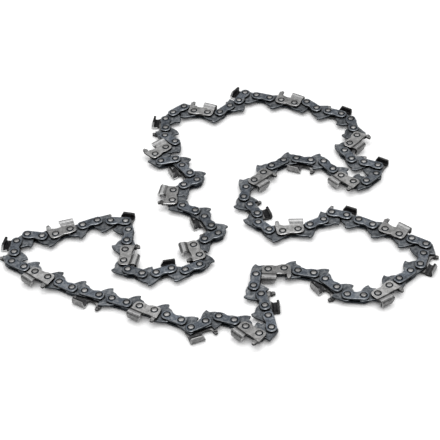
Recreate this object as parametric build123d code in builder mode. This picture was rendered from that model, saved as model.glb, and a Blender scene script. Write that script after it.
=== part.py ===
from build123d import *

import os
from math import cos, radians, sin, tan

import numpy as np

# Chainsaw chain loop, lying on its side as it was put down: every rivet stands upright, the
# tangs of the drive links point into the loop and the cutters point out of it.
# Each link is drawn with its rear rivet at the origin, +X the way the chain runs, +Y towards
# the tangs and +Z to the chain's left side, with Z = 0 halfway through the drive link.
# Sizes are in millimetres and degrees.

# Chain
pitch = 9.525  # half the length over three rivets, 3/8 inch
strap_span = 10.15  # between the rivets of a tie strap or a cutter
drive_span = 2 * pitch - strap_span  # between the rivets of a drive link
repeats = 17  # a repeat is a strap pair, a left cutter, a strap pair and a right cutter
gauge = 1.5  # drive link thickness
plate = 1.5  # tie strap and cutter thickness

# Rivet heads
head_diameter = 5.2
head_height = 0.5
head_sides = 6

# Tie straps
strap_reach = 3.5  # end of the strap beyond its rivet
strap_height = 7.0
strap_corner = 2.0  # corners on the outer edge
lobe_corner = 2.5  # corners on the inner edge, which round off the two ends
waist_width = 3.6  # floor of the waist between the two ends
waist_depth = 0.9

# Drive links
link_reach = 3.3  # end of the link beyond its rivet
link_back = 3.6  # outer edge from the rivet line
link_corner = 1.6
tang_depth = 9.7  # tip of the tang from the rivet line
tang_tip = 5.2  # tip of the tang ahead of the rear rivet
tang_crest = 3.0  # blunt edge behind the tip
crest_drop = 1.0  # rear end of the crest, lower than the tip
tang_root = 2.2  # where the tang's sloped back leaves the end of the link
hook_drop = 2.8  # from the tip down the hooked front of the tang
hook_lean = 0.7  # foot of the hook ahead of the tip
shoulder_height = 6.1  # shoulder in front of the hook
shoulder_ahead = 0.4  # shoulder ahead of the front rivet
toe_height = 2.0  # where the shoulder meets the end of the link
ramp_height = 7.4  # crest of the ramp that shields a depth gauge
ramp_start = 1.8  # foot of the ramp's rear end ahead of the rear rivet
ramp_lean = 0.6  # crest of the ramp ahead of that foot

# Cutters
foot_behind = 3.9  # straight rear of the foot beyond the rear rivet
foot_ahead = 4.0  # straight front of the foot beyond the front rivet
cutter_set = 1.2  # how far the side plate is set out from the foot, for the kerf
cutting_height = 10.5  # cutting corner from the rivet line
cutting_ahead = 4.4  # cutting corner ahead of the rear rivet
tooth_height = 5.6  # from the foot to the top plate's outer face
joggle_length = 2.2  # slope between the foot and the side plate
tooth_bend = 1.3  # bend between the side plate and the top plate
top_plate_width = 5.0
top_plate_angle = 30  # slant of the cutting edge
hook_angle = 12  # lean of the side plate's front edge
clearance_angle = 9  # fall of the top plate towards its heel
heel_behind = 4.9  # heel of the top plate behind the rear rivet
heel_root = 1.6  # where the heel leaves the end of the foot
gauge_height = 9.6  # top of the depth gauge from the rivet line
gauge_width = 1.8
gauge_ahead = 3.0  # front of the depth gauge's top ahead of the front rivet
gauge_front = 7.0  # where the front of the foot leans back to the depth gauge

# Lay of the loop: number of a rivet and its place, at each bend of the chain
route = [
    (0, -133, -45), (5, -93, -72), (11, -42, -96), (13, -25, -106), (14, -19, -113),
    (16, -2, -104), (17, 8, -109), (19, 21, -121), (20, 30, -116), (23, 25, -88),
    (24, 21, -80), (25, 23, -70), (26, 31, -66), (27, 41, -66), (29, 59, -72),
    (30, 66, -78), (32, 78, -92), (33, 88, -94), (34, 97, -93), (38, 127, -69),
    (40, 133, -51), (46, 85, -19), (47, 76, -16), (48, 70, -22), (50, 53, -30),
    (51, 42, -31), (52, 34, -29), (53, 27, -21), (54, 27, -12), (56, 19, 5),
    (57, 21, 15), (60, 40, 36), (61, 49, 41), (62, 57, 42), (64, 76, 37),
    (66, 86, 21), (67, 94, 14), (68, 102, 14), (69, 110, 21), (70, 112, 30),
    (72, 95, 38), (73, 91, 48), (75, 101, 64), (76, 100, 72), (77, 99, 82),
    (78, 93, 89), (80, 76, 98), (81, 69, 105), (82, 60, 106), (86, 27, 120),
    (87, 21, 112), (89, 7, 100), (90, -2, 100), (91, -12, 103), (92, -19, 108),
    (93, -27, 102), (94, -32, 95), (96, -33, 76), (97, -26, 69), (99, -40, 56),
    (100, -36, 48), (101, -26, 49), (104, -12, 26), (105, -21, 21), (106, -28, 15),
    (107, -28, 6), (108, -22, 0), (109, -14, -6), (110, -8, -13), (112, 0, -29), (114, -16, -39),
    (115, -12, -49), (116, -12, -58), (117, -22, -62), (118, -30, -60), (119, -40, -63),
    (120, -49, -63), (121, -58, -59), (122, -61, -50), (125, -58, -21), (126, -60, -12),
    (128, -79, -10), (131, -106, -21), (132, -115, -22), (133, -124, -20), (134, -131, -26),
    (136, -133, -45),
]
route_fill = 0.995  # length of the route as a share of the chain's length
settle_rounds = 12


# Drive link: a flat link whose tang runs in the groove of the guide bar. The tang's back is
# sloped, its tip points the way the chain runs, and its front is hooked.
with BuildPart() as drive_link:
    with BuildSketch(Plane.XY.offset(-gauge / 2)):
        with BuildLine():
            Polyline(
                (-link_reach, link_corner - link_back),
                (-link_reach, tang_root),
                (tang_tip - tang_crest, tang_depth - crest_drop),
                (tang_tip, tang_depth),
                (tang_tip + hook_lean, tang_depth - hook_drop),
                (drive_span + shoulder_ahead, shoulder_height),
                (drive_span + link_reach, toe_height),
                (drive_span + link_reach, link_corner - link_back),
                (drive_span + link_reach - link_corner, -link_back),
                (link_corner - link_reach, -link_back),
                close=True,
            )
        make_face()
    extrude(amount=gauge)

# Ramp drive link: the link in front of each depth gauge, with a ramp on its outer edge that
# rises towards the gauge.
with BuildPart() as ramp_drive_link:
    add(drive_link.part)
    with BuildSketch(Plane.XY.offset(-gauge / 2)):
        with BuildLine():
            Polyline(
                (ramp_start, -link_back),
                (ramp_start + ramp_lean, -ramp_height),
                (drive_span + link_reach - link_corner, -link_back),
                close=True,
            )
        make_face()
    extrude(amount=gauge)

# Tie strap: a flat outer plate with two rounded ends and a waist on the side of the tangs.
# It lies on the drive link's left face, and its mirror image on the right face.
inner_face = gauge / 2
strap_edge = strap_height / 2
waist_edge = strap_edge - waist_depth
waist_start = (strap_span - waist_width) / 2
waist_end = (strap_span + waist_width) / 2
with BuildPart() as tie_strap:
    with BuildSketch(Plane.XY.offset(inner_face)):
        with BuildLine():
            Polyline(
                (-strap_reach, strap_corner - strap_edge),
                (-strap_reach, strap_edge - lobe_corner),
                (lobe_corner - strap_reach, strap_edge),
                (waist_start, waist_edge),
                (waist_end, waist_edge),
                (strap_span + strap_reach - lobe_corner, strap_edge),
                (strap_span + strap_reach, strap_edge - lobe_corner),
                (strap_span + strap_reach, strap_corner - strap_edge),
                (strap_span + strap_reach - strap_corner, -strap_edge),
                (strap_corner - strap_reach, -strap_edge),
                close=True,
            )
        make_face()
    extrude(amount=plate)
with BuildPart() as right_tie_strap:
    mirror(tie_strap.part, about=Plane.XY)

# Cutter: one stamped plate, here the left one. Its foot is riveted like a tie strap and rises
# at the front into the depth gauge. At the rear the side plate is set out from the foot and
# bent over into the top plate, which is ground at a slant to the cutting edge.
outer_face = inner_face + plate
kerf_face = outer_face + cutter_set
fall = tan(radians(clearance_angle))
root_ahead = cutting_ahead + tooth_height * sin(radians(clearance_angle))
root_height = cutting_height - tooth_height * cos(radians(clearance_angle))


def tooth_root(ahead):
    """Gives where the tooth leaves the foot, a line that falls with the top plate."""
    return -root_height - fall * (ahead - root_ahead)


tooth_plane = Plane(
    origin=(cutting_ahead, -cutting_height, 0),
    x_dir=(fall, 1, 0),
    z_dir=(1, -fall, 0),
)
rake_plane = Plane(
    origin=(cutting_ahead, -cutting_height, kerf_face),
    z_dir=(1, tan(radians(hook_angle)), -tan(radians(top_plate_angle))),
)
heel_plane = Plane(
    origin=(-foot_behind, -heel_root, 0),
    z_dir=(cutting_height - heel_root, foot_behind - heel_behind, 0),
)
with BuildPart() as tooth:
    with BuildSketch(tooth_plane):
        with BuildLine():
            Polyline(
                (tooth_height, outer_face),
                (tooth_height - joggle_length, kerf_face),
                (tooth_bend, kerf_face),
                (0, kerf_face - tooth_bend),
                (0, kerf_face - top_plate_width),
                (plate, kerf_face - top_plate_width),
                (plate, kerf_face - plate),
                (tooth_height - joggle_length, kerf_face - plate),
                (tooth_height, inner_face),
                close=True,
            )
        make_face()
    extrude(amount=-2 * (cutting_ahead + heel_behind))
    split(bisect_by=rake_plane, keep=Keep.BOTTOM)
    split(bisect_by=heel_plane, keep=Keep.TOP)
gauge_rear = strap_span + gauge_ahead - gauge_width
foot_end = strap_span + foot_ahead
with BuildPart() as cutter:
    with BuildSketch(Plane.XY.offset(inner_face)):
        with BuildLine():
            Polyline(
                (-foot_behind, tooth_root(-foot_behind)),
                (-foot_behind, strap_edge - lobe_corner),
                (lobe_corner - foot_behind, strap_edge),
                (waist_start, waist_edge),
                (waist_end, waist_edge),
                (foot_end - lobe_corner, strap_edge),
                (foot_end, strap_edge - lobe_corner),
                (foot_end, -gauge_front),
                (strap_span + gauge_ahead, -gauge_height),
                (gauge_rear, -gauge_height),
                (gauge_rear, tooth_root(gauge_rear)),
                close=True,
            )
        make_face()
    extrude(amount=plate)
    add(tooth.part)
with BuildPart() as right_cutter:
    mirror(cutter.part, about=Plane.XY)

# Rivet head: the staked end of a rivet, a low cone on the outer plate.
with BuildPart() as rivet_head:
    with BuildSketch(Plane.XY.offset(outer_face)) as head_outline:
        RegularPolygon(head_diameter / 2, head_sides)
    loft([head_outline.sketch, Vertex(0, 0, outer_face + head_height)], ruled=True)
with BuildPart() as right_rivet_head:
    mirror(rivet_head.part, about=Plane.XY)


# Lay of the rivets: spread along the route, then moved until every span is right
def settle(rivets, spans):
    """Moves the rivets as little as it takes to leave each at its span from the next."""
    here = np.arange(len(rivets))
    ahead = np.roll(here, -1)
    for _ in range(settle_rounds):
        reach = rivets[ahead] - rivets
        length = np.hypot(*reach.T)
        along = reach / length[:, None]
        pull = np.zeros((len(rivets), len(rivets), 2))
        pull[here, ahead] = along
        pull[here, here] = -along
        move = np.linalg.lstsq(pull.reshape(len(rivets), -1), spans - length, rcond=None)[0]
        rivets = rivets + move.reshape(rivets.shape)
    return rivets


units = 4 * repeats
number, across, up = np.array(route, dtype=float).T
route_length = np.hypot(np.diff(across), np.diff(up)).sum()
route_scale = units * 2 * pitch * route_fill / route_length
counted = np.linspace(0, number[-1], 2 * units, endpoint=False)
laid = np.column_stack([np.interp(counted, number, across), np.interp(counted, number, up)])
rivets = settle(laid * route_scale, np.tile([strap_span, drive_span], units))
run = np.roll(rivets, -1, axis=0) - rivets
heading = np.degrees(np.arctan2(run[:, 1], run[:, 0]))


repeat_rivets = 8


def places(starts):
    """Gives the places of the links whose rear rivets have these numbers in each repeat."""
    chosen = [i for i in range(len(rivets)) if i % repeat_rivets in starts]
    return [Location((*rivets[i], kerf_face), (0, 0, heading[i])) for i in chosen]


# Straps and cutters start at the even rivets of a repeat and drive links at the odd ones. A
# cutter has a strap opposite it, and the drive link ahead of it has the ramp.
plain_links = [1, 5]
ramp_links = [3, 7]
left_cutters = [2]
right_cutters = [6]
left_straps = [0, 4] + right_cutters
right_straps = [0, 4] + left_cutters
groups = {
    "drive_links": (drive_link, plain_links),
    "ramp_drive_links": (ramp_drive_link, ramp_links),
    "left_tie_straps": (tie_strap, left_straps),
    "right_tie_straps": (right_tie_strap, right_straps),
    "left_rivet_heads": (rivet_head, range(repeat_rivets)),
    "right_rivet_heads": (right_rivet_head, range(repeat_rivets)),
}
single = {
    "left_cutter": (cutter, left_cutters),
    "right_cutter": (right_cutter, right_cutters),
}

# The middle of the loop's box goes to the origin, and its lowest side plates to Z = 0
boxes = [
    link.part.moved(place).bounding_box()
    for link, starts in [*groups.values(), *single.values()]
    for place in places(starts)
]
low = np.min([(box.min.X, box.min.Y) for box in boxes], axis=0)
high = np.max([(box.max.X, box.max.Y) for box in boxes], axis=0)
rivets = rivets - (low + high) / 2

# Nodes: one for each kind of link that repeats, and one for each cutter
os.makedirs("parts", exist_ok=True)
for name, (link, starts) in groups.items():
    with BuildPart() as node:
        with Locations(*places(starts)):
            add(link.part)
    node.part.label = name
    export_step(node.part, f"parts/{name}.step")
for kind, (link, starts) in single.items():
    for count, place in enumerate(places(starts), start=1):
        name = f"{kind}_{count:02d}"
        with BuildPart() as node:
            with Locations(place):
                add(link.part)
        node.part.label = name
        export_step(node.part, f"parts/{name}.step")
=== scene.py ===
import math

import bmesh
import bpy
from mathutils import Matrix, Vector


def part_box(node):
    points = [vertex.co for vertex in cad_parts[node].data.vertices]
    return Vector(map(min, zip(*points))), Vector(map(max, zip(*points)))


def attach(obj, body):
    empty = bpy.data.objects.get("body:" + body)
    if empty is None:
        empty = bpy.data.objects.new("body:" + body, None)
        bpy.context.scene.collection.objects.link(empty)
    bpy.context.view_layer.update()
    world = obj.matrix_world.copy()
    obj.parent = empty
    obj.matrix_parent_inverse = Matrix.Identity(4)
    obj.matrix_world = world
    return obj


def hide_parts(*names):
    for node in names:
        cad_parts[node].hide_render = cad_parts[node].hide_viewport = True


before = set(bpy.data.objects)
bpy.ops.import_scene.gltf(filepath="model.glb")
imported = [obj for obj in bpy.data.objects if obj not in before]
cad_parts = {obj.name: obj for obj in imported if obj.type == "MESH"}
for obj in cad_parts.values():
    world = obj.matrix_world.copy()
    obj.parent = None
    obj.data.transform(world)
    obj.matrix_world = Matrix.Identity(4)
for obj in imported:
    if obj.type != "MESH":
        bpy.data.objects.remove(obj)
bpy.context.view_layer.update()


# Lay of the chain: a closed loop of saw chain put down on its side, so every rivet stands
# upright and each link turns about Z. The rivets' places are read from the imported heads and
# walked in order, tangs to the left, from the strap pair behind the first left cutter.
mm = 0.001
strap_span = 10.15
drive_span = 8.9

head_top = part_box("left_rivet_heads")[1].z
spots = []
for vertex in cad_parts["left_rivet_heads"].data.vertices:
    spot = vertex.co.xy
    on_top = vertex.co.z > head_top - 0.1 * mm
    if on_top and all((spot - known).length > mm for known in spots):
        spots.append(spot.copy())
rivets = [spots.pop()]
while spots:
    span = strap_span * mm if len(rivets) % 2 else drive_span * mm
    ahead = min(spots, key=lambda spot: abs((spot - rivets[-1]).length - span))
    spots.remove(ahead)
    rivets.append(ahead)
if sum(a.x * b.y - a.y * b.x for a, b in zip(rivets, rivets[1:] + rivets[:1])) < 0:
    rivets.reverse()


def from_first_cutter(i):
    """Gives how far the middle of the link from this rivet is from the first left cutter's."""
    cutter_low, cutter_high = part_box("left_cutter_01")
    return ((rivets[i] + rivets[i + 1]) / 2 - ((cutter_low + cutter_high) / 2).xy).length


first = min(range(0, len(rivets), 2), key=from_first_cutter)
rivets = rivets[first - 2:] + rivets[:first - 2]


# Drive links: flat blanked links of blued steel in the middle of the chain. The tang runs in
# the bar's groove: sloped back, tip pointing the way the chain runs, hooked front. The broken
# edges of the blank show paler than its faces, and its sheared sides are painted near-black:
# partly oil, partly painted shade.
links_in_repeat = 8
plain_turns = (1, 5)
half_gauge = 0.75
link_break = 0.22
wide_rounding = 2
tang = [
    (-3.3, -3.6, 1.5), (-3.3, 2.2, 1.0), (2.2, 8.7, 1.8), (5.2, 9.7, 0.35), (5.9, 6.9, 1.0),
    (9.3, 6.1, 1.6), (12.2, 2.0, 1.2), (12.2, -3.6, 1.5),
]
face, rim, side = range(3)


def blank(corners):
    """Cuts a flat outline from its corners, each with how far back its rounding starts."""
    shape = bmesh.new()
    cut = [shape.verts.new((x, y, 0)) for x, y, _ in corners]
    shape.faces.new(cut)
    for rounding in sorted({corner[2] for corner in corners if corner[2]}):
        rounded = [vert for vert, corner in zip(cut, corners) if corner[2] == rounding]
        bmesh.ops.bevel(
            shape, geom=rounded, offset=rounding, offset_type="OFFSET",
            segments=4 if rounding > wide_rounding else 2, profile=0.5, affect="VERTICES", material=-1,
        )
    return shape


def thicken(shape, low, high, upper_break, lower_break):
    """Gives a flat outline its thickness and breaks the edges of its two faces."""
    bmesh.ops.translate(shape, vec=(0, 0, low), verts=shape.verts)
    extruded = bmesh.ops.extrude_face_region(shape, geom=shape.faces[:])["geom"]
    raised = [part for part in extruded if isinstance(part, bmesh.types.BMVert)]
    bmesh.ops.translate(shape, vec=(0, 0, high - low), verts=raised)
    bmesh.ops.recalc_face_normals(shape, faces=shape.faces)
    for wall in shape.faces:
        wall.material_index = side if abs(wall.normal.z) < 0.5 else face
    for height, amount in ((high, upper_break), (low, lower_break)):
        if amount:
            outline = [
                edge for edge in shape.edges
                if all(abs(vert.co.z - height) < 1e-4 for vert in edge.verts)
            ]
            broken = bmesh.ops.bevel(
                shape, geom=outline, offset=amount, offset_type="OFFSET", segments=1,
                profile=0.5, affect="EDGES", material=-1,
            )["faces"]
            for strip in broken:
                strip.material_index = rim
    return shape


gap_reach = 2.2 * mm
gap_samples = 8
# Painted shade: the base colour falls to painted_shade_dark in the deepest gaps and creases, by
# ambient occlusion.
painted_shade_full, painted_shade_none, painted_shade_dark = 0.35, 0.85, 0.12
mottle_start, mottle_width = 0.38, 0.24
smoother, rougher = 0.08, 0.1
tumble_grain = 2600
tumble_depth = 0.04 * mm


def graded(tree, value, low, high, at_low, at_high):
    """Grades one value by another: at_low up to low, at_high from high on, evenly in between."""
    grade = tree.nodes.new("ShaderNodeMapRange")
    tree.links.new(value, grade.inputs["Value"])
    ends = {"From Min": low, "From Max": high, "To Min": at_low, "To Max": at_high}
    for socket, end in ends.items():
        if isinstance(end, bpy.types.NodeSocket):
            tree.links.new(end, grade.inputs[socket])
        else:
            grade.inputs[socket].default_value = end
    return grade.outputs["Result"]


def steel(name, tones, roughness, grain, relief, spread=0.16):
    """Makes a steel finish: mottled, darkened by painted shade in the gaps, not quite alike on any two
    links.
    """
    finish = bpy.data.materials.new(name)
    finish.use_nodes = True
    tree = finish.node_tree
    nodes, links = tree.nodes, tree.links
    shader = nodes["Principled BSDF"]
    shader.inputs["Metallic"].default_value = 1
    place = nodes.new("ShaderNodeTexCoord").outputs["Object"]

    cloud = nodes.new("ShaderNodeTexNoise")
    cloud.inputs["Scale"].default_value = grain
    cloud.inputs["Detail"].default_value = 6
    cloud.inputs["Roughness"].default_value = 0.72
    links.new(place, cloud.inputs["Vector"])
    mottle = cloud.outputs["Fac"]
    tone = nodes.new("ShaderNodeValToRGB")
    stops = tone.color_ramp.elements
    while len(stops) < len(tones):
        stops.new(0.5)
    for step, (stop, colour) in enumerate(zip(stops, tones)):
        stop.position = mottle_start + mottle_width * step / (len(tones) - 1)
        stop.color = (*colour, 1)
    links.new(mottle, tone.inputs["Fac"])

    # Ambient occlusion darkens the base colour in gaps and creases: painted shade.
    gap = nodes.new("ShaderNodeAmbientOcclusion")
    gap.samples = gap_samples
    gap.inputs["Distance"].default_value = gap_reach
    own = nodes.new("ShaderNodeNewGeometry").outputs["Random Per Island"]
    level_and_painted_shade = nodes.new("ShaderNodeMath")
    level_and_painted_shade.operation = "MULTIPLY"
    links.new(graded(tree, own, 0, 1, 1 - spread, 1 + spread), level_and_painted_shade.inputs[0])
    links.new(graded(tree, gap.outputs["AO"], painted_shade_full, painted_shade_none, painted_shade_dark, 1), level_and_painted_shade.inputs[1])
    shade = nodes.new("ShaderNodeVectorMath")
    shade.operation = "SCALE"
    links.new(tone.outputs["Color"], shade.inputs[0])
    links.new(level_and_painted_shade.outputs["Value"], shade.inputs["Scale"])
    links.new(shade.outputs["Vector"], shader.inputs["Base Color"])

    gloss = graded(tree, mottle, 0, 1, roughness - smoother, roughness + rougher)
    links.new(gloss, shader.inputs["Roughness"])
    tumble = nodes.new("ShaderNodeTexNoise")
    tumble.inputs["Scale"].default_value = tumble_grain
    tumble.inputs["Detail"].default_value = 3
    links.new(place, tumble.inputs["Vector"])
    bump = nodes.new("ShaderNodeBump")
    bump.inputs["Strength"].default_value = relief
    bump.inputs["Distance"].default_value = tumble_depth
    links.new(tumble.outputs["Fac"], bump.inputs["Height"])
    links.new(bump.outputs["Normal"], shader.inputs["Normal"])
    return finish


link_steel = steel(
    "link_steel", [(0.066, 0.071, 0.076), (0.118, 0.13, 0.145), (0.24, 0.245, 0.25)],
    roughness=0.36, grain=430, relief=0.5, spread=0.26,
)
link_edge = steel(
    "link_edge", [(0.126, 0.138, 0.15), (0.33, 0.347, 0.366)], roughness=0.34, grain=500, relief=0.3,
)
# Sheared sides: near-black, partly oil on the cut steel, partly painted shade of the gaps between
# plates.
sheared = steel(
    "sheared_side", [(0.0115, 0.0138, 0.0165), (0.0305, 0.0365, 0.0435)],
    roughness=0.46, grain=700, relief=0.5,
)
link_finishes = (link_steel, link_edge, sheared)

link_low, link_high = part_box("drive_links")
mid_height = (link_low.z + link_high.z) / 2
crease = math.radians(35)


def seat(i):
    """Gives the place of the link whose rear rivet has this number, for a shape in millimetres."""
    along = (rivets[(i + 1) % len(rivets)] - rivets[i]).normalized()
    turn = Matrix(((along.x, -along.y, 0, 0), (along.y, along.x, 0, 0), (0, 0, 1, 0), (0, 0, 0, 1)))
    return Matrix.Translation((*rivets[i], mid_height)) @ turn @ Matrix.Scale(mm, 4)


def lay(name, shape, turns, finishes, nodes):
    """Lays a link at its turns in each repeat of the chain, as one piece in these nodes' place."""
    pattern = bpy.data.meshes.new(name + "_link")
    shape.to_mesh(pattern)
    chain = bmesh.new()
    for i in range(len(rivets)):
        if i % links_in_repeat in turns:
            placed = pattern.copy()
            placed.transform(seat(i))
            chain.from_mesh(placed)
            bpy.data.meshes.remove(placed)
    bpy.data.meshes.remove(pattern)
    mesh = bpy.data.meshes.new(name)
    chain.to_mesh(mesh)
    chain.free()
    for finish in finishes:
        mesh.materials.append(finish)
    mesh.polygons.foreach_set("use_smooth", [True] * len(mesh.polygons))
    mesh.set_sharp_from_angle(angle=crease)
    piece = bpy.data.objects.new(name, mesh)
    bpy.context.scene.collection.objects.link(piece)
    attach(piece, "root")
    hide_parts(*nodes)


drive_link = thicken(blank(tang), -half_gauge, half_gauge, link_break, link_break)
lay("plain_links", drive_link, plain_turns, link_finishes, ["drive_links"])


# Ramp drive links: the links ahead of the cutters, blanked from the same steel with a ramp on
# the outer edge that rises beside the depth gauge and keeps twigs off it.
ramp_turns = (3, 7)
ramp = tang[:-1] + [(12.2, -3.6, 1.6), (2.4, -7.4, 0.5), (1.8, -3.6, 0.7)]
ramp_link = thicken(blank(ramp), -half_gauge, half_gauge, link_break, link_break)
lay("ramp_links", ramp_link, ramp_turns, link_finishes, ["ramp_drive_links"])


# Tie straps: blanked plates of blued steel, riveted on both faces of the drive links and
# opposite each cutter. Two round ends meet in a waist on the side of the tangs, and the outer
# edge is rubbed pale, with a painted highlight on top of the wear.
upper_turns = (0, 4, 6)
lower_turns = (0, 2, 4)
plate = 1.5
strap_break = 0.3
strap = [
    (-3.5, -3.5, 3.0), (-3.5, 3.5, 3.2), (2.6, 3.5, 1.3), (5.075, 2.1, 1.3), (7.55, 3.5, 1.3),
    (13.65, 3.5, 3.2), (13.65, -3.5, 3.0),
]
blued = steel(
    "blued_steel", [(0.064, 0.07, 0.079), (0.116, 0.134, 0.16), (0.232, 0.24, 0.247)],
    roughness=0.36, grain=430, relief=0.5, spread=0.26,
)
# Strap rims: pale from wear, and paler still as a painted highlight.
rubbed_and_highlit = steel(
    "rubbed_and_highlit_edge", [(0.2, 0.218, 0.237), (0.47, 0.495, 0.522)], roughness=0.34, grain=500, relief=0.3,
)
strap_finishes = (blued, rubbed_and_highlit, sheared)


def other_side(shape):
    """Gives the mirror image of a link, for the chain's right side."""
    image = shape.copy()
    bmesh.ops.scale(image, vec=(1, 1, -1), verts=image.verts)
    bmesh.ops.reverse_faces(image, faces=image.faces)
    return image


tie_strap = thicken(blank(strap), half_gauge, half_gauge + plate, strap_break, 0)
lower_strap = other_side(tie_strap)
lay("upper_straps", tie_strap, upper_turns, strap_finishes, ["left_tie_straps"])
lay("lower_straps", lower_strap, lower_turns, strap_finishes, ["right_tie_straps"])


# Cutters: one stamped and plated sheet each. A flat foot is riveted like a strap; past the
# foot the sheet is set out for the kerf, and the tooth is bent over into the top plate, ground
# at a slant. A round gullet parts the tooth from the depth gauge in front.
cutters_each_side = 17
left_turn, right_turn = (2,), (6,)
cutter_break = 0.2
shortest_edge = 0.16
clearance = math.radians(9)
root = Vector((0, -4.13))
along_root = Vector((math.cos(clearance), -math.sin(clearance)))
out_of_root = Vector((-math.sin(clearance), -math.cos(clearance)))
tooth_front = 7
gauge_start = 8.5
foot_edge_end = -0.5
tooth_start = 1.5
bend_end = 1.9
nearly_level = 0.97
section = [
    (0, 0), (0.45, 0.1), (1.05, 0.54), (1.65, 0.93), (2.1, 0.99), (2.3, 1.018),
    (3.3, 1.155), (3.58, 1.17), (3.76, 1.1), (3.89, 0.95), (3.95, 0.75), (3.5, -2.3),
]
cutting_corner = 9
foot_and_gauge = [
    (-3.9, 3.5, 2.6), (2.5, 3.5, 1.2), (5.075, 2.4, 1.2), (7.65, 3.5, 1.2), (14.15, 3.5, 2.6),
    (14.15, -7.0, 0.5), (13.2, -9.6, 0.4), (11.35, -9.6, 0.4), (11.2, -5.2, 2.2), (4.1, -4.2, 2.3),
]
stretch = [0]
for near, far in zip(section, section[1:]):
    stretch.append(stretch[-1] + math.dist(near, far))
gauge_stretch = stretch[:4] + stretch[-1:]
gauge_section = list(zip(gauge_stretch, (0, 0.3, 0.9, 0.45, 0.45)))


def unrolled(x, y):
    """Gives a point of the flat foot along the root of the tooth and out from it."""
    from_root = Vector((x, y)) - root
    return from_root.dot(along_root), from_root.dot(out_of_root)


def fold(point):
    """Bends a point of the flat sheet: the tooth is set out for the kerf, the gauge less far."""
    if point.x > gauge_start:
        levels, bent = gauge_stretch, gauge_section
    else:
        levels, bent = stretch, section
    out, rise = min(point.y, 0), 0
    for begun, ended, near, far in zip(levels, levels[1:], bent, bent[1:]):
        if point.y > begun:
            share = min((point.y - begun) / (ended - begun), 1)
            out = near[0] + share * (far[0] - near[0])
            rise = near[1] + share * (far[1] - near[1])
    return Vector((*(root + point.x * along_root + out * out_of_root), half_gauge + rise))


tooth = [
    (5.5, stretch[cutting_corner], 0), (3.7, stretch[-1], 0), (-4.15, stretch[-1], 0.5), (-4.15, 0, 0),
]
cutter = blank([(*unrolled(x, y), rounding) for x, y, rounding in foot_and_gauge] + tooth)
for fold_line in stretch[:-1]:
    bmesh.ops.bisect_plane(
        cutter, geom=cutter.verts[:] + cutter.edges[:] + cutter.faces[:], dist=1e-5,
        plane_co=(0, fold_line, 0), plane_no=(0, 1, 0),
    )
bmesh.ops.remove_doubles(cutter, verts=cutter.verts, dist=shortest_edge)
for vert in cutter.verts:
    vert.co = fold(vert.co)
bmesh.ops.recalc_face_normals(cutter, faces=cutter.faces)
if sum(patch.normal.z * patch.calc_area() for patch in cutter.faces) > 0:
    bmesh.ops.reverse_faces(cutter, faces=cutter.faces)
inner_face = set(cutter.verts)
bmesh.ops.solidify(cutter, geom=cutter.faces[:], thickness=plate)
bmesh.ops.recalc_face_normals(cutter, faces=cutter.faces)
inner_face = {vert for vert in inner_face if vert.is_valid}

foot_steel = steel(
    "cutter_foot", [(0.182, 0.181, 0.179), (0.38, 0.378, 0.375)],
    roughness=0.36, grain=430, relief=0.5, spread=0.34,
)
plating = steel(
    "hard_plating", [(0.34, 0.34, 0.34), (0.53, 0.53, 0.53)],
    roughness=0.34, grain=600, relief=0.5, spread=0.1,
)
# A darker copy of the plating for the tooth's faces that don't lie flat and the inner faces by the
# gauge: painted shade.
shaded_plating = steel(
    "shaded_plating", [(0.115, 0.115, 0.115), (0.28, 0.28, 0.28)],
    roughness=0.38, grain=700, relief=0.5, spread=0.2,
)
# The joggle's plating, darker than the rest: painted shade of the crease between foot and tooth.
bend = steel(
    "bend", [(0.15, 0.15, 0.15), (0.27, 0.27, 0.27)],
    roughness=0.34, grain=600, relief=0.4, spread=0.1,
)
# Foot rims: pale from wear, and brighter still as a painted highlight.
worn_and_highlit = steel(
    "worn_and_highlit_edge", [(0.65, 0.65, 0.65), (0.9, 0.9, 0.9)],
    roughness=0.3, grain=900, relief=0.25, spread=0.08,
)
# Cutter sides: near-black, partly oil on the sheared steel, partly painted shade.
cut_side = steel(
    "cutter_side", [(0.02, 0.02, 0.02), (0.06, 0.06, 0.06)], roughness=0.42, grain=700, relief=0.4,
)
# Inside of the curl: dark, partly unpolished oily steel, partly painted shade of the hollow under the
# top plate.
curl = steel(
    "inside_of_curl", [(0.03, 0.03, 0.032), (0.09, 0.09, 0.093)], roughness=0.5, grain=500, relief=0.4,
)
ground = steel(
    "ground_edge", [(0.38, 0.38, 0.38), (0.6, 0.6, 0.6)],
    roughness=0.28, grain=900, relief=0.25, spread=0.08,
)
cutter_finishes = (foot_steel, plating, worn_and_highlit, cut_side, curl, ground, bend, shaded_plating)


def whereabouts(patch):
    """Gives how far past the foot a patch of the cutter is, and whether it is on the tooth side."""
    middle = patch.calc_center_median().xy
    return (middle - root).dot(out_of_root), middle.x < tooth_front


outer_rim = []
for patch in cutter.faces:
    inner = sum(vert in inner_face for vert in patch.verts)
    past_foot, tooth_side = whereabouts(patch)
    on_tooth = tooth_side and past_foot > tooth_start
    # The joggle and the tooth's sloping faces take the darker finishes: painted shade.
    if inner == 0 and 0 < past_foot < bend_end:
        finish = bend
    elif inner == 0 and on_tooth:
        finish = plating if patch.normal.z > nearly_level else shaded_plating
    elif inner == 0:
        finish = foot_steel
    elif inner == len(patch.verts):
        finish = foot_steel if past_foot < 0 else curl if tooth_side else shaded_plating
    else:
        faces_ahead = patch.normal.xy.dot(along_root) > 0.5
        finish = ground if on_tooth and faces_ahead else cut_side
        outer_rim += [edge for edge in patch.edges if inner_face.isdisjoint(edge.verts)]
    patch.material_index = cutter_finishes.index(finish)
broken = bmesh.ops.bevel(
    cutter, geom=outer_rim, offset=cutter_break, offset_type="OFFSET", segments=1,
    profile=0.5, affect="EDGES", material=-1,
)["faces"]
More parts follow.
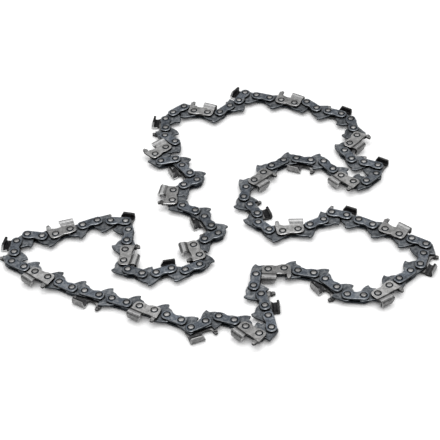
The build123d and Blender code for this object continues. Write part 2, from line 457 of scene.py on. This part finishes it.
for strip in broken:
    past_foot, tooth_side = whereabouts(strip)
    if past_foot < foot_edge_end:
        finish = worn_and_highlit
    else:
        finish = plating if tooth_side and past_foot > tooth_start else foot_steel
    strip.material_index = cutter_finishes.index(finish)

left_nodes = [f"left_cutter_{count:02d}" for count in range(1, cutters_each_side + 1)]
right_nodes = [f"right_cutter_{count:02d}" for count in range(1, cutters_each_side + 1)]
lay("left_cutters", cutter, left_turn, cutter_finishes, left_nodes)
lay("right_cutters", other_side(cutter), right_turn, cutter_finishes, right_nodes)


# Rivets: turned steel pins whose ends are spun over on the outer plates. Each head is a low
# cone with a bright flat top, and the spun flank is painted near-black as painted shade.
head_profile = [(2.55, 0), (2.42, 0.13), (1.62, 0.37), (1.4, 0.47), (0, 0.5)]
top_radius = 1.5
bright = steel(
    "spun_top", [(0.17, 0.168, 0.166), (0.36, 0.356, 0.352)],
    roughness=0.34, grain=600, relief=0.5, spread=0.25,
)
# The spun flank: near-black, painted shade around the head.
flank = steel(
    "spun_flank", [(0.0105, 0.0125, 0.0155), (0.035, 0.041, 0.048)],
    roughness=0.42, grain=600, relief=0.4,
)
head_finishes = (bright, flank)

head = bmesh.new()
turned = [head.verts.new((radius, 0, half_gauge + plate + height)) for radius, height in head_profile]
spun = [head.edges.new(pair) for pair in zip(turned, turned[1:])]
bmesh.ops.spin(
    head, geom=turned + spun, cent=(0, 0, 0), axis=(0, 0, 1), angle=math.tau, steps=12,
    use_merge=True, use_duplicate=False,
)
bmesh.ops.remove_doubles(head, verts=head.verts, dist=1e-4)
bmesh.ops.holes_fill(head, edges=[edge for edge in head.edges if edge.is_boundary])
bmesh.ops.recalc_face_normals(head, faces=head.faces)
for patch in head.faces:
    finish = bright if patch.calc_center_median().xy.length < top_radius else flank
    patch.material_index = head_finishes.index(finish)
every_rivet = range(links_in_repeat)
lay("upper_heads", head, every_rivet, head_finishes, ["left_rivet_heads"])
lay("lower_heads", other_side(head), every_rivet, head_finishes, ["right_rivet_heads"])


# Floor and light: a sheet of white paper under the chain, a wide soft lamp overhead and a
# fill in front. The steel reflects a pale room that is dim low down at the back and brightest
# in a ring high up.
floor_mesh = bpy.data.meshes.new("floor")
paper_sheet = bmesh.new()
bmesh.ops.create_grid(paper_sheet, x_segments=1, y_segments=1, size=6)
paper_sheet.to_mesh(floor_mesh)
paper_sheet.free()
floor = bpy.data.objects.new("floor", floor_mesh)
bpy.context.scene.collection.objects.link(floor)
paper = bpy.data.materials.new("white_paper")
paper.use_nodes = True
paper_shader = paper.node_tree.nodes["Principled BSDF"]
paper_shader.inputs["Base Color"].default_value = (0.99, 0.99, 0.99, 1)
paper_shader.inputs["Roughness"].default_value = 0.9
paper_shader.inputs["Specular IOR Level"].default_value = 0
floor_mesh.materials.append(paper)

room = bpy.data.worlds.new("room")
bpy.context.scene.world = room
room.use_nodes = True
glow = room.node_tree
background = glow.nodes["Background"]
background.inputs["Color"].default_value = (1, 1, 1, 1)
outlook = glow.nodes.new("ShaderNodeTexCoord").outputs["Generated"]
direction = glow.nodes.new("ShaderNodeSeparateXYZ")
glow.links.new(outlook, direction.inputs["Vector"])
backward, upward = direction.outputs["Y"], direction.outputs["Z"]
back_wall = graded(glow, upward, low=0.2, high=0.68, at_low=0.04, at_high=0.8)
walls = graded(glow, backward, low=-0.5, high=0.3, at_low=0.3, at_high=back_wall)
ring = graded(glow, upward, low=0.94, high=0.99, at_low=1.52, at_high=0.2)
ceiling = graded(glow, upward, low=0.68, high=0.9, at_low=0, at_high=ring)
total = glow.nodes.new("ShaderNodeMath")
glow.links.new(walls, total.inputs[0])
glow.links.new(ceiling, total.inputs[1])
glow.links.new(total.outputs["Value"], background.inputs["Strength"])


def softbox(name, spot, size, power, mirrored):
    """Hangs a wide soft lamp that points at the chain, and is or isn't mirrored in the steel."""
    light = bpy.data.lights.new(name, "AREA")
    light.shape = "SQUARE"
    light.size = size
    light.energy = power
    lamp = bpy.data.objects.new(name, light)
    lamp.location = spot
    lamp.rotation_euler = (-Vector(spot)).to_track_quat("-Z", "Y").to_euler()
    lamp.visible_glossy = mirrored
    bpy.context.scene.collection.objects.link(lamp)


softbox("overhead", (0.1, 0.3, 1.35), size=0.8, power=3, mirrored=False)
softbox("front_fill", (0.2, -1.1, 1.2), size=0.9, power=4.5, mirrored=True)


# Camera: where the photograph was taken, above the near side, with a long lens and a slight
# lean to one side. The focal length is in pixels of the photograph's frame.
photo_width = 440
focal_length = 1395.9
film_width = 36
distance = 0.9166
lift = math.radians(41.88)
lean = math.radians(-3.345)
aim = Vector((3.14, -17.0, 6.0)) * mm
forward = Vector((0, math.cos(lift), -math.sin(lift)))
level = Vector((1, 0, 0))
plumb = Vector((0, math.sin(lift), math.cos(lift)))
across = math.cos(lean) * level + math.sin(lean) * plumb
upright = -math.sin(lean) * level + math.cos(lean) * plumb
lens = bpy.data.cameras.new("camera")
lens.sensor_width = film_width
lens.lens = film_width * focal_length / photo_width
lens.clip_start = 0.01
camera = bpy.data.objects.new("camera", lens)
bpy.context.scene.collection.objects.link(camera)
facing = Matrix((across, upright, -forward)).transposed().to_4x4()
camera.matrix_world = Matrix.Translation(aim - distance * forward) @ facing
bpy.context.scene.camera = camera

bpy.context.scene.view_settings.view_transform = "Standard"
